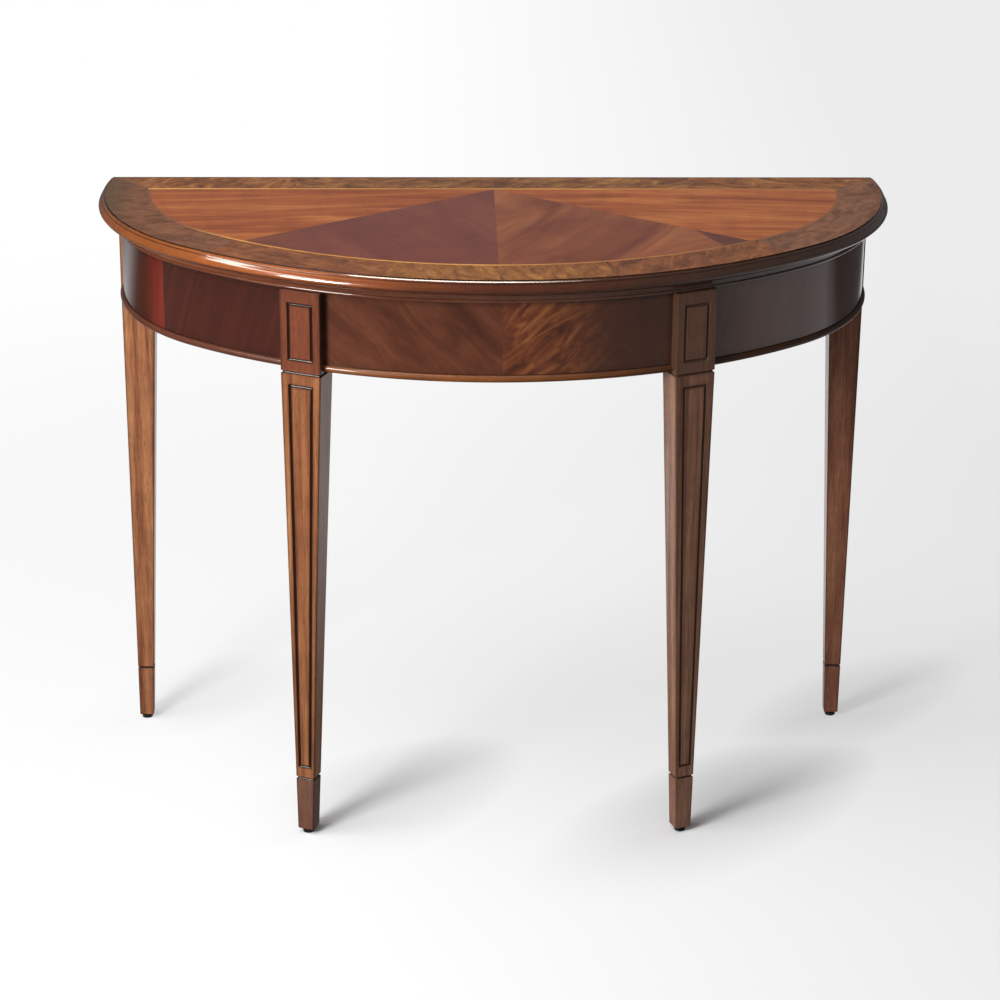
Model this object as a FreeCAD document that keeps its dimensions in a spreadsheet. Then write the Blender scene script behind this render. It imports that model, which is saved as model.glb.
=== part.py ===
import FreeCAD, Part
import math
import os
from FreeCAD import Placement, Rotation, Vector

# A half-round console table: veneered top with a moulded edge, bowed apron, four tapered legs on levellers.
# X runs along the straight back, +Y points to the wall, Z is up from the floor, lengths are millimetres.

doc = FreeCAD.newDocument("DemiluneTable")

# Driving sizes, one sheet row each
sizes = {
    # whole table
    "overall_width": 1067,
    "overall_depth": 445,
    "overall_height": 813,
    "side_radius": 310,
    "side_return": 57,
    # top board and its moulded edge
    "veneer_thickness": 1,
    "core_thickness": 17,
    "lipping_width": 4,
    "nosing_reach": 9,
    "nosing_ledge": 2,
    "nosing_step": 1.2,
    # veneer pattern
    "border_width": 57,
    "back_band_width": 52,
    "string_width": 4,
    "fan_angle": 34.2,
    "wedge_angle": 63.6,
    "wedge_start": 312,
    "back_seam_spread": 268,
    # moulding under the top
    "bed_height": 17,
    "bed_reach": 16,
    "bed_fillet": 3,
    "bed_toe": 7,
    "bed_bead": 4,
    # apron
    "apron_overhang": 29,
    "apron_drop": 143.5,
    "rail_thickness": 22,
    "bead_height": 9.5,
    "bead_reach": 4.5,
    "bead_flat": 1,
    "centre_seam_shift": 5,
    "side_seam_angle": 49,
    "back_rail_inset": 3,
    # legs
    "front_leg_width": 56,
    "front_leg_depth": 38.5,
    "front_foot_width": 22.5,
    "front_foot_depth": 20.5,
    "outer_taper": 12.5,
    "front_leg_proud": 14,
    "back_leg_width": 46,
    "back_foot_width": 20,
    "back_leg_proud": 5,
    "back_leg_inset": 9,
    "block_drop": 146,
    "cuff_height": 84,
    "foot_clearance": 7,
    "groove_width": 4.2,
    "groove_depth": 2,
    "panel_margin": 10,
    "panel_end_margin": 16,
    "panel_head_margin": 16,
    "panel_foot_margin": 4,
    # dowels in the rail joints
    "dowel_diameter": 8,
    "dowel_length": 36,
    "dowel_pitch": 64,
    # blocks and screws that hold the top down
    "block_length": 60,
    "block_section": 22,
    "block_spread": 260,
    "side_block_angle": 58,
    "screw_diameter": 4,
    "screw_bite": 9,
    "screw_head_diameter": 8,
    "screw_head_height": 2.6,
    # levelling feet
    "pad_diameter": 15,
    "pad_height": 4,
    "pad_crown_diameter": 11,
    "pad_crown_height": 1.5,
    "stem_diameter": 6,
    "stem_length": 17,
    "stem_seat_depth": 3,
    "insert_diameter": 10,
    "insert_length": 13,
    "stem_travel": 3,
    # clearances
    "running_gap": 0.3,
    "glue_gap": 0.3,
    "overrun": 5,
}

sheet = doc.addObject("Spreadsheet::Sheet", "Sizes")
for row, (alias, value) in enumerate(sizes.items(), start=1):
    sheet.set(f"A{row}", alias)
    sheet.set(f"B{row}", str(value))
    sheet.setAlias(f"B{row}", alias)
doc.recompute()


def size(alias):
    return float(sheet.get(alias))


# Shares of the sizes that they follow
border_seam_shares = (0.28, 0.7)
moulding_seam_share = 0.78
front_leg_share = 0.46
front_block_share = 0.18
cove_sag_share = 0.2

# Plan of the table: tangent arcs, the front on one centre behind the back, the sides on centres in front of
# the back, so that the outline is widest there and turns in again towards the back corners
half_width = size("overall_width") / 2
back = size("overall_depth") / 2
front = -back
side_x = half_width - size("side_radius")
side_y = back - size("side_return")
bow_depth = size("overall_depth") - size("side_return")
bow_radius = ((side_x ** 2 + bow_depth ** 2 - size("side_radius") ** 2)
              / (2 * (bow_depth - size("side_radius"))))
bow_y = front + bow_radius
joint_angle = math.degrees(math.atan2(side_x, bow_y - side_y))
far = size("overall_width") + size("overall_depth") + bow_radius

# Heights
top_z = size("overall_height")
core_top = top_z - size("veneer_thickness")
core_bottom = core_top - size("core_thickness")
bed_bottom = core_bottom - size("bed_height")
apron_bottom = top_z - size("apron_drop")
bead_top = apron_bottom + size("bead_height")
block_bottom = top_z - size("block_drop")
foot_z = size("foot_clearance")

# Insets from the outermost line of the nosing
arris = size("nosing_reach")
apron_face = size("apron_overhang")
rail_face = apron_face + size("veneer_thickness")
rail_back = rail_face + size("rail_thickness")
rail_middle = (rail_face + rail_back) / 2
string_outer = arris + size("border_width")
field_edge = string_outer + size("string_width")


def direction(angle):
    # A level direction, the angle counted from the front towards the right
    return Vector(math.sin(math.radians(angle)), -math.cos(math.radians(angle)), 0)


def side_at(inset, depth):
    # Half the width of the plan line at a depth measured from the back
    return side_x + math.sqrt((size("side_radius") - inset) ** 2 - (depth - size("side_return")) ** 2)


def outline(inset):
    # The closed plan line that lies the inset inside the nosing's outermost line
    side = size("side_radius") - inset
    corner = Vector(side_at(inset, 0), back, 0)
    widest = Vector(side_x + side, side_y, 0)
    meet = Vector(side_x, side_y, 0) + direction(joint_angle) * side
    nose = Vector(0, front + inset, 0)

    def left(point):
        return Vector(-point.x, point.y, 0)

    edges = [
        Part.Arc(corner, widest, meet),
        Part.Arc(meet, nose, left(meet)),
        Part.Arc(left(meet), left(widest), left(corner)),
        Part.LineSegment(left(corner), corner),
    ]
    return Part.Wire([edge.toShape() for edge in edges])


def plate(inset, bottom, top):
    # A board of the plan shape between two heights
    solid = Part.Face(outline(inset)).extrude(Vector(0, 0, top - bottom))
    solid.translate(Vector(0, 0, bottom))
    return solid


def ring(outer, inner, bottom, top):
    # A bowed wall between two insets, open at the back
    return plate(outer, bottom, top).cut(plate(inner, bottom, top))


def prism(points, bottom, top):
    # An upright prism on a polygon of level points
    loop = [Vector(point.x, point.y, bottom) for point in points]
    return Part.Face(Part.makePolygon(loop + loop[:1])).extrude(Vector(0, 0, top - bottom))


def strip(low_y, high_y, bottom, top):
    # Everything between two lines parallel to the back
    return Part.makeBox(2 * far, high_y - low_y, top - bottom, Vector(-far, low_y, bottom))


def sector(centre, start, end, bottom, top):
    # A wedge of space about an upright line
    return prism([centre, centre + direction(start) * far, centre + direction(end) * far], bottom, top)


def bow_angle(share):
    # The direction of a seam that lies a share of half the width to one side
    return math.degrees(math.asin(share * half_width / bow_radius))


def by_side(shape):
    # The separate solids of a shape, from left to right
    return sorted(shape.Solids, key=lambda solid: solid.CenterOfMass.x)


def largest(shape):
    return max(shape.Solids, key=lambda solid: solid.Volume)


nodes = []


def keep(label, shape):
    # A piece whose form follows the bow of the table
    piece = doc.addObject("Part::Feature", label)
    piece.Label = label
    piece.Shape = shape
    piece.Placement = shape.Placement
    nodes.append(piece)


# Legs: where they stand
front_leg = size("front_leg_width")
front_leg_radius = bow_radius - apron_face + size("front_leg_proud") - size("front_leg_depth") / 2
front_leg_angle = math.degrees(math.asin(front_leg_share * half_width / front_leg_radius))
bow_centre = Vector(0, bow_y, 0)
back_leg = size("back_leg_width")
back_leg_outer = half_width - apron_face + size("back_leg_proud")
back_leg_inner = back_leg_outer - back_leg
back_leg_rear = back - size("back_leg_inset")
back_leg_front = back_leg_rear - back_leg


def front_leg_place(hand):
    centre = bow_centre + direction(hand * front_leg_angle) * front_leg_radius
    return Placement(centre, Rotation(Vector(0, 0, 1), hand * front_leg_angle))


def front_block(hand):
    # The space that a front leg's block takes out of the apron, open to the front
    depth = size("front_leg_depth") + apron_face
    box = Part.makeBox(front_leg, depth, top_z, Vector(-front_leg / 2, size("front_leg_depth") / 2 - depth, 0))
    box.Placement = front_leg_place(hand)
    return box


front_blocks = front_block(-1).fuse(front_block(1))


def between_legs(shape):
    # What is left of a bowed wall between the legs: left, centre and right lengths
    clear = strip(-far, back_leg_front, 0, top_z)
    return by_side(shape.common(clear).cut(front_blocks))


# Joints: a point on each leg's face at the middle of the rail, and the direction across the joint
rail_joints = []
for hand in (-1, 1):
    place = front_leg_place(hand)
    for side in (-1, 1):
        across = side * front_leg / 2
        inward = front_leg_radius - math.sqrt((bow_radius - rail_middle) ** 2 - across ** 2)
        rail_joints.append((place.multVec(Vector(across, inward, 0)),
                            place.Rotation.multVec(Vector(side, 0, 0))))
    side_rail_x = hand * side_at(rail_middle, back - back_leg_front)
    rail_joints.append((Vector(side_rail_x, back_leg_front, 0), Vector(0, 1, 0)))
    back_rail_y = back_leg_rear - size("back_rail_inset") - size("rail_thickness") / 2
    rail_joints.append((Vector(hand * back_leg_inner, back_rail_y, 0), Vector(hand, 0, 0)))


def dowel_set(diameter, length):
    # Pegs across every joint, one above the other
    rail_height = (apron_bottom + core_bottom) / 2
    pegs = []
    for point, across in rail_joints:
        for step in (-1, 1):
            start = point - across * (length / 2)
            start.z = rail_height + step * size("dowel_pitch") / 2
            pegs.append(Part.makeCylinder(diameter / 2, length, start, across))
    return Part.makeCompound(pegs)


dowel_bores = dowel_set(size("dowel_diameter") + 2 * size("glue_gap"),
                        size("dowel_length") + 2 * size("running_gap"))


# Top board
def blocks_places():
    # Fixing blocks: three on the back rail, two on the centre rail, one on each side rail
    half = size("block_section") / 2
    rail_front = back_leg_rear - size("back_rail_inset") - size("rail_thickness")
    places = []
    for step in (-1, 0, 1):
        centre = Vector(step * size("block_spread"), rail_front - half, 0)
        places.append(Placement(centre, Rotation()))
    seats = [(bow_centre, bow_radius, hand * bow_angle(front_block_share)) for hand in (-1, 1)]
    seats += [(Vector(hand * side_x, side_y, 0), size("side_radius"), hand * size("side_block_angle"))
              for hand in (-1, 1)]
    for centre, radius, angle in seats:
        inner = radius - rail_back
        reach = math.sqrt(inner ** 2 - (size("block_length") / 2) ** 2) - size("glue_gap") - half
        places.append(Placement(centre + direction(angle) * reach, Rotation(Vector(0, 0, 1), angle)))
    return places


def screw(diameter, head_diameter, head_height, length):
    # A wood screw standing head down, its head sunk in the underside of the block
    shank = Part.makeCylinder(diameter / 2, length)
    head = Part.makeCone(head_diameter / 2, diameter / 2, head_height)
    return shank.fuse(head)


def at_blocks(shape, bottom):
    copies = []
    for place in blocks_places():
        copy = shape.copy()
        copy.Placement = Placement(place.Base + Vector(0, 0, bottom), place.Rotation)
        copies.append(copy)
    return Part.makeCompound(copies)


block_bottom_z = core_bottom - size("block_section")
screw_length = size("block_section") + size("screw_bite")
top_screws = at_blocks(screw(size("screw_diameter"), size("screw_head_diameter"),
                             size("screw_head_height"), screw_length), block_bottom_z)
screw_slack = 2 * size("glue_gap")
screw_holes = at_blocks(screw(size("screw_diameter") + screw_slack, size("screw_head_diameter") + screw_slack,
                              size("screw_head_height") + size("glue_gap"),
                              screw_length + size("glue_gap")), block_bottom_z)
fixing_block = Part.makeBox(size("block_length"), size("block_section"), size("block_section"),
                            Vector(-size("block_length") / 2, -size("block_section") / 2, 0))

lipping_zone = strip(back - size("lipping_width"), back, core_bottom, core_top)
board = plate(arris, core_bottom, core_top)
keep("top_core", largest(board.cut(lipping_zone).cut(screw_holes)))
keep("back_lipping", board.common(lipping_zone))
keep("top_fixing_blocks", at_blocks(fixing_block, block_bottom_z).cut(screw_holes))
keep("top_fixing_screws", top_screws)

# Veneers of the top
veneer_low = core_top - size("overrun")
veneer_high = top_z + size("overrun")
band_line = back - size("back_band_width")
field_line = band_line - size("string_width")
sheet_face = plate(arris, core_top, top_z)
string_plate = plate(string_outer, core_top, top_z).common(strip(-far, band_line, veneer_low, veneer_high))
field = plate(field_edge, core_top, top_z).common(strip(-far, field_line, veneer_low, veneer_high))

string_rim = string_plate.cut(field)
string_zone = strip(field_line, band_line, veneer_low, veneer_high)
keep("string_back", largest(string_rim.common(string_zone)))
keep("string_curved", largest(string_rim.cut(string_zone)))

border = sheet_face.cut(string_plate)
mitre_x = side_at(string_outer, size("back_band_width"))
corner_x = side_at(arris, 0)
back_band_zone = prism([Vector(-corner_x, back, 0), Vector(corner_x, back, 0),
                        Vector(mitre_x, band_line, 0), Vector(-mitre_x, band_line, 0)],
                       veneer_low, veneer_high)
back_band = border.common(back_band_zone)
curved_band = border.cut(back_band_zone)
band_angles = [0] + [bow_angle(share) for share in border_seam_shares] + [90]
for hand, side in ((-1, "left"), (1, "right")):
    for place, start, end in zip(("front", "bow", "end"), band_angles, band_angles[1:]):
        wedge = sector(bow_centre, hand * start, hand * end, veneer_low, veneer_high)
        keep(f"border_{place}_{side}", largest(curved_band.common(wedge)))
    seam = size("back_seam_spread")
    for place, start, end in (("inner", 0, seam), ("outer", seam, far)):
        low, high = sorted((hand * start, hand * end))
        piece = Part.makeBox(high - low, far, veneer_high - veneer_low, Vector(low, 0, veneer_low))
        keep(f"border_back_{place}_{side}", largest(back_band.common(piece)))

# Fan of field leaves about one apex at the back string
apex = Vector(0, field_line, 0)
for hand, side in ((-1, "left"), (1, "right")):
    def ray(angle):
        return Vector(hand * math.cos(math.radians(angle)), -math.sin(math.radians(angle)), 0) * far

    fan_ray = ray(size("fan_angle"))
    branch = apex + fan_ray * (size("wedge_start") / far)
    rear_zone = prism([apex, apex + ray(0), apex + fan_ray], veneer_low, veneer_high)
    wedge_zone = prism([branch, branch + fan_ray, branch + ray(size("wedge_angle"))],
                       veneer_low, veneer_high)
    half_zone = prism([apex, apex + ray(0), apex + ray(0) + ray(90), apex + ray(90)],
                      veneer_low, veneer_high)
    half_field = field.common(half_zone)
    keep(f"field_leaf_rear_{side}", largest(half_field.common(rear_zone)))
    keep(f"field_leaf_wedge_{side}", largest(half_field.common(wedge_zone)))
    keep(f"field_leaf_main_{side}", largest(half_field.cut(rear_zone).cut(wedge_zone)))


# Mouldings: a section carried round the arcs of the plan
def section(points):
    # A closed upright section; three points in one entry make an arc
    edges = []
    for entry in points:
        if len(entry) == 3:
            edges.append(Part.Arc(*entry).toShape())
        else:
            edges.append(Part.LineSegment(*entry).toShape())
    return Part.Face(Part.Wire(edges))


def nosing_section(radius):
    # A small ledge below the flat, then a round nose
    top = top_z - size("nosing_step")
    inner_top = Vector(radius - arris, 0, top)
    ledge = Vector(radius - arris + size("nosing_ledge"), 0, top)
    nose = Vector(radius, 0, (top + core_bottom) / 2)
    toe = Vector(ledge.x, 0, core_bottom)
    inner_toe = Vector(inner_top.x, 0, core_bottom)
    return section([(inner_top, ledge), (ledge, nose, toe), (toe, inner_toe), (inner_toe, inner_top)])


def bed_section(radius):
    # A fillet over a cove over a half-round bead, planted on the apron's face
    inner = radius - apron_face + size("glue_gap")
    outer = radius - apron_face + size("bed_reach")
    toe_x = radius - apron_face + size("bed_toe")
    bead_radius = size("bed_bead") / 2
    fillet = Vector(outer, 0, core_bottom - size("bed_fillet"))
    quirk = Vector(toe_x, 0, bed_bottom + size("bed_bead"))
    swell = Vector(toe_x + bead_radius, 0, bed_bottom + bead_radius)
    toe = Vector(toe_x, 0, bed_bottom)
    chord = quirk - fillet
    hollow = fillet + chord * 0.5 + Vector(chord.z, 0, -chord.x) * cove_sag_share
    inner_top = Vector(inner, 0, core_bottom)
    outer_top = Vector(outer, 0, core_bottom)
    inner_toe = Vector(inner, 0, bed_bottom)
    return section([(inner_top, outer_top), (outer_top, fillet), (fillet, hollow, quirk),
                    (quirk, swell, toe), (toe, inner_toe), (inner_toe, inner_top)])


def bead_section(radius):
    # A flat-sided strip with a round face, glued to the rail below the veneer
    inner = radius - rail_face + size("glue_gap")
    shoulder = radius - apron_face + size("bead_flat")
    nose = Vector(radius - apron_face + size("bead_reach"), 0, (apron_bottom + bead_top) / 2)
    low = Vector(shoulder, 0, apron_bottom)
    high = Vector(shoulder, 0, bead_top)
    inner_low = Vector(inner, 0, apron_bottom)
    inner_high = Vector(inner, 0, bead_top)
    return section([(inner_low, low), (low, nose, high), (high, inner_high), (inner_high, inner_low)])


def arc_run(section_at, centre, radius, start, end):
    solid = section_at(radius).revolve(Vector(), Vector(0, 0, 1), end - start)
    solid.Placement = Placement(centre, Rotation(Vector(0, 0, 1), start - 90))
    return solid


def bowed_run(section_at):
    # The front arc and both side arcs, cut off square at the back
    past_back = math.degrees(math.asin(size("side_return") / (size("side_radius") - rail_back)))
    runs = [arc_run(section_at, bow_centre, bow_radius, -joint_angle, joint_angle)]
    for hand in (-1, 1):
        start, end = sorted((hand * joint_angle, hand * (90 + past_back)))
        runs.append(arc_run(section_at, Vector(hand * side_x, side_y, 0), size("side_radius"), start, end))
    whole = runs[0].fuse(runs[1:]).removeSplitter()
    return whole.common(strip(-far, back, 0, top_z))


moulding_seam = bow_angle(moulding_seam_share)
for name, section_at in (("edge_moulding", nosing_section), ("bed_moulding", bed_section)):
    whole = bowed_run(section_at)
    for side, start, end in (("left", -90, -moulding_seam), ("front", -moulding_seam, moulding_seam),
                             ("right", moulding_seam, 90)):
        keep(f"{name}_{side}", largest(whole.common(sector(bow_centre, start, end, 0, top_z))))

# Apron rails, their veneers and their beads
sides = ("left", "centre", "right")
rails = between_legs(ring(rail_face, rail_back, apron_bottom, core_bottom))
beads = between_legs(bowed_run(bead_section))
for side, rail, bead in zip(sides, rails, beads):
    keep(f"apron_rail_{side}", largest(rail.cut(dowel_bores)))
    keep(f"apron_bead_{side}", bead)

veneers = between_legs(ring(apron_face, rail_face - size("glue_gap"), bead_top, core_bottom))
for side, hand, veneer in zip(sides, (-1, 0, 1), veneers):
    if hand:
        cut = sector(Vector(hand * side_x, side_y, 0), hand * size("side_seam_angle"), hand * 180,
                     apron_bottom, top_z)
    else:
        cut = Part.makeBox(far, 2 * far, top_z, Vector(size("centre_seam_shift"), -far, 0))
    first, second = by_side(Part.makeCompound([largest(veneer.common(cut)), largest(veneer.cut(cut))]))
    keep(f"apron_veneer_{side}_a", first)
    keep(f"apron_veneer_{side}_b", second)


# Legs
def frustum(low, low_z, high, high_z):
    # A four-sided taper between two level rectangles, each given as x and y ranges
    loops = []
    for (x0, x1, y0, y1), z in ((low, low_z), (high, high_z)):
        corners = [Vector(x0, y0, z), Vector(x1, y0, z), Vector(x1, y1, z), Vector(x0, y1, z)]
        loops.append(Part.makePolygon(corners + corners[:1]))
    return Part.makeLoft(loops, True, True)


def tapered(foot, head, z):
    # The taper's rectangle at a height between the foot and the block
    share = (z - foot_z) / (block_bottom - foot_z)
    return tuple(a + (b - a) * share for a, b in zip(foot, head))


def grown(rectangle, margin):
    x0, x1, y0, y1 = rectangle
    return (x0 - margin, x1 + margin, y0 - margin, y1 + margin)


def line_cut(foot, head, z):
    # An incised line round all four faces
    low_z = z - size("groove_width") / 2
    high_z = z + size("groove_width") / 2
    low = tapered(foot, head, low_z)
    high = tapered(foot, head, high_z)
    core = frustum(grown(low, -size("groove_depth")), low_z, grown(high, -size("groove_depth")), high_z)
    return frustum(grown(low, size("overrun")), low_z, grown(high, size("overrun")), high_z).cut(core)


def panel_cut(foot, head, low_z, high_z, low_margin, high_margin):
    # An incised frame on the front face, parallel to the face's own edges
    def loop(inset):
        low = tapered(foot, head, low_z + inset)
        high = tapered(foot, head, high_z - inset)
        points = [
            Vector(low[0] + low_margin + inset, low[2] + size("groove_depth"), low_z + inset),
            Vector(low[1] - low_margin - inset, low[2] + size("groove_depth"), low_z + inset),
            Vector(high[1] - high_margin - inset, high[2] + size("groove_depth"), high_z - inset),
            Vector(high[0] + high_margin + inset, high[2] + size("groove_depth"), high_z - inset),
        ]
        face = Part.Face(Part.makePolygon(points + points[:1]))
        return face.extrude(Vector(0, -size("groove_depth") - size("overrun"), 0))

    return loop(0).cut(loop(size("groove_width")))


def leveller_bore(x, y):
    # Holes up the foot for the threaded insert and, above it, for the stem
    insert = Part.makeCylinder(size("insert_diameter") / 2 + size("glue_gap"),
                               size("insert_length") + size("glue_gap"), Vector(x, y, foot_z))
    stem = Part.makeCylinder(size("stem_diameter") / 2 + size("running_gap"),
                             size("stem_length") + size("stem_travel"), Vector(x, y, foot_z))
    return insert.fuse(stem)


def leg(foot, head, panelled):
    block = Part.makeBox(head[1] - head[0], head[3] - head[2], core_bottom - block_bottom,
                         Vector(head[0], head[2], block_bottom))
    solid = frustum(foot, foot_z, head, block_bottom).fuse(block)
    cuts = [line_cut(foot, head, size("cuff_height")), line_cut(foot, head, block_bottom)]
    if panelled:
        margin = size("panel_margin")
        end = size("panel_end_margin")
        cuts.append(panel_cut(foot, head, size("cuff_height") + end, block_bottom - end,
                              size("panel_foot_margin"), margin))
        cuts.append(panel_cut(head, head, block_bottom + end, bed_bottom - size("panel_head_margin"),
                              margin, margin))
    cuts.append(leveller_bore((foot[0] + foot[1]) / 2, (foot[2] + foot[3]) / 2))
    return solid.cut(cuts)


bed_notch = ring(-size("overrun"), apron_face, bed_bottom, core_bottom)
feet = []

# The front legs stand square to the bow, upright on their front face and tapered on the other three
for hand, side in ((-1, "left"), (1, "right")):
    place = front_leg_place(hand)
    face = -size("front_leg_depth") / 2
    outer = hand * (front_leg / 2 - size("outer_taper"))
    foot_x = sorted((outer, outer - hand * size("front_foot_width")))
    foot = (*foot_x, face, face + size("front_foot_depth"))
    shape = leg(foot, (-front_leg / 2, front_leg / 2, face, -face), True)
    shape.Placement = place
    keep(f"front_leg_{side}", largest(shape.cut([bed_notch, dowel_bores])))
    feet.append((f"front_{side}", place.multVec(Vector(sum(foot_x) / 2, (foot[2] + foot[3]) / 2, 0))))

# The back legs taper on their inner and front faces only
for hand, side in ((-1, "left"), (1, "right")):
    outer = hand * back_leg_outer
    head_x = sorted((outer, hand * back_leg_inner))
    foot_x = sorted((outer, outer - hand * size("back_foot_width")))
    foot_front = back_leg_rear - size("back_foot_width")
    foot = (*foot_x, foot_front, back_leg_rear)
    shape = leg(foot, (*head_x, back_leg_front, back_leg_rear), False)
    keep(f"back_leg_{side}", largest(shape.cut([bed_notch, dowel_bores])))
    feet.append((f"back_{side}", Vector(sum(foot_x) / 2, (foot_front + back_leg_rear) / 2, 0)))


# Pieces made of plain solids bound to the sheet
def bound(kind, name, place=None, **bindings):
    piece = doc.addObject(kind, name)
    if place:
        piece.Placement = place
    for property_name, expression in bindings.items():
        piece.setExpression(property_name.replace("_at_", "."), expression)
    return piece


def joined(kind, label, base, tool, place):
    piece = doc.addObject(kind, label)
    piece.Label = label
    piece.Base = base
    piece.Tool = tool
    piece.Placement = place
    return piece


# Back rail between the back legs
rail_place = Placement(Vector(-back_leg_inner, back_rail_y - size("rail_thickness") / 2, apron_bottom),
                       Rotation())
rail_box = bound("Part::Box", "back_rail_board", rail_place,
                 Length="Sizes.overall_width - 2 * Sizes.apron_overhang"
                        " + 2 * Sizes.back_leg_proud - 2 * Sizes.back_leg_width",
                 Width="Sizes.rail_thickness",
                 Height="Sizes.apron_drop - Sizes.veneer_thickness - Sizes.core_thickness")
bore_tool = doc.addObject("Part::Feature", "dowel_bores")
bore_tool.Shape = dowel_bores
nodes.append(joined("Part::Cut", "back_rail", rail_box, bore_tool, Placement()))

keep("rail_dowels", dowel_set(size("dowel_diameter"), size("dowel_length")))

# Levelling feet: a threaded insert, a stem that turns in it, and the pad that the stem stands in
insert_shapes = []
for corner, base in feet:
    place = Placement(base, Rotation())
    pad_disc = bound("Part::Cylinder", f"pad_disc_{corner}", Radius="Sizes.pad_diameter / 2",
                     Height="Sizes.pad_height")
    pad_crown = bound("Part::Cone", f"pad_crown_{corner}", Radius1="Sizes.pad_diameter / 2",
                      Radius2="Sizes.pad_crown_diameter / 2", Height="Sizes.pad_crown_height",
                      Placement_at_Base_at_z="Sizes.pad_height")
    pad_body = joined("Part::Fuse", f"pad_body_{corner}", pad_disc, pad_crown, Placement())
    pad_seat = bound("Part::Cylinder", f"pad_seat_{corner}",
                     Radius="Sizes.stem_diameter / 2 + Sizes.running_gap",
                     Height="Sizes.stem_seat_depth + Sizes.overrun",
                     Placement_at_Base_at_z="Sizes.pad_height + Sizes.pad_crown_height"
                                            " - Sizes.stem_seat_depth")
    nodes.append(joined("Part::Cut", f"leveller_pad_{corner}", pad_body, pad_seat, place))

    stem = bound("Part::Cylinder", f"leveller_stem_{corner}", place, Radius="Sizes.stem_diameter / 2",
                 Height="Sizes.foot_clearance + Sizes.stem_length - Sizes.pad_height"
                        " - Sizes.pad_crown_height + Sizes.stem_seat_depth - Sizes.running_gap",
                 Placement_at_Base_at_z="Sizes.pad_height + Sizes.pad_crown_height"
                                        " - Sizes.stem_seat_depth + Sizes.running_gap")
    stem.Label = f"leveller_stem_{corner}"
    nodes.append(stem)

    insert_shell = bound("Part::Cylinder", f"insert_shell_{corner}", Radius="Sizes.insert_diameter / 2",
                         Height="Sizes.insert_length")
    insert_thread = bound("Part::Cylinder", f"insert_thread_{corner}",
                          Radius="Sizes.stem_diameter / 2 + Sizes.running_gap",
                          Height="Sizes.insert_length + 2 * Sizes.overrun",
                          Placement_at_Base_at_z="-Sizes.overrun")
    insert_shapes.append(joined("Part::Cut", f"insert_{corner}", insert_shell, insert_thread,
                                Placement(base + Vector(0, 0, foot_z), Rotation())))
inserts = doc.addObject("Part::Compound", "leveller_inserts")
inserts.Label = "leveller_inserts"
inserts.Links = insert_shapes
nodes.append(inserts)

doc.recompute()

for item in doc.Objects:
    faults = [state for state in item.State if state in ("Invalid", "Error")]
    if faults:
        raise RuntimeError(f"{item.Label}: {faults}")
for piece in nodes:
    if piece.Shape.isNull() or not piece.Shape.isValid():
        raise RuntimeError(f"{piece.Label}: bad shape")
    if not piece.Shape.Solids:
        raise RuntimeError(f"{piece.Label}: no solid")

os.makedirs("parts", exist_ok=True)
for piece in nodes:
    piece.Shape.exportStep(f"parts/{piece.Label}.step")
    box = piece.Shape.BoundBox
    print(f"{piece.Label}: {len(piece.Shape.Solids)} solids, {piece.Shape.Volume / 1000:.1f} cm3, "
          f"x {box.XMin:.1f} {box.XMax:.1f} y {box.YMin:.1f} {box.YMax:.1f} z {box.ZMin:.1f} {box.ZMax:.1f}")
print(len(nodes), "pieces")
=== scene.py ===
import math

import bpy
import numpy as np
from mathutils import Matrix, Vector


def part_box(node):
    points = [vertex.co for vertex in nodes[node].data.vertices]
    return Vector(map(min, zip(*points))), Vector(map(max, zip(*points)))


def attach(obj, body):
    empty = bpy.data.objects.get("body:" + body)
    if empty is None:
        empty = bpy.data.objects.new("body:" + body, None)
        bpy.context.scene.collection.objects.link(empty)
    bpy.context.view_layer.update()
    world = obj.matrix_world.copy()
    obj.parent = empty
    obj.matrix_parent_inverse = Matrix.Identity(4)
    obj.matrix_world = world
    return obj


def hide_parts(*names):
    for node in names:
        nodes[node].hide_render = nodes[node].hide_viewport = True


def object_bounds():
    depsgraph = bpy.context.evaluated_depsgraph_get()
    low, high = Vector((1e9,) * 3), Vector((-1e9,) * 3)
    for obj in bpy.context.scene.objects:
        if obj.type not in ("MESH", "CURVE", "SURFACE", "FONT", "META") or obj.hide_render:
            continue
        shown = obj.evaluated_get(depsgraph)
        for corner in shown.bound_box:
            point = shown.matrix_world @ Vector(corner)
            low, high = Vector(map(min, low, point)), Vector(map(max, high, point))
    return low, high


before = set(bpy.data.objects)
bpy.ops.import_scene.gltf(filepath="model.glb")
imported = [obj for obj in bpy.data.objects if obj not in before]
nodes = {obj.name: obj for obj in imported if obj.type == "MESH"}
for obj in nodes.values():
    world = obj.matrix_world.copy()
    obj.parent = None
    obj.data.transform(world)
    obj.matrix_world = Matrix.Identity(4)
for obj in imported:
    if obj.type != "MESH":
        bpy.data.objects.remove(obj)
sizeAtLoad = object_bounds()
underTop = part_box("top_core")[0][2]
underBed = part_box("bed_moulding_front")[0][2]
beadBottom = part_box("apron_bead_centre")[0][2]
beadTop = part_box("apron_bead_centre")[1][2]
low, high = (np.array(corner, float) for corner in sizeAtLoad)
print("frame loaded:", len(nodes), "nodes")

# Plan of the top: three tangent arcs, widest a little in front of the straight back
plan = {"sideRadius": 0.310, "sideReturn": 0.057}
back = high[1]
sideRadius = plan["sideRadius"]
sideX = high[0] - sideRadius
sideY = back - plan["sideReturn"]
bowDepth = sideY - low[1]
bowRadius = (sideX ** 2 + bowDepth ** 2 - sideRadius ** 2) / (2 * (bowDepth - sideRadius))
bowY = low[1] + bowRadius
jointAngle = math.atan2(sideX, bowY - sideY)


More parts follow.
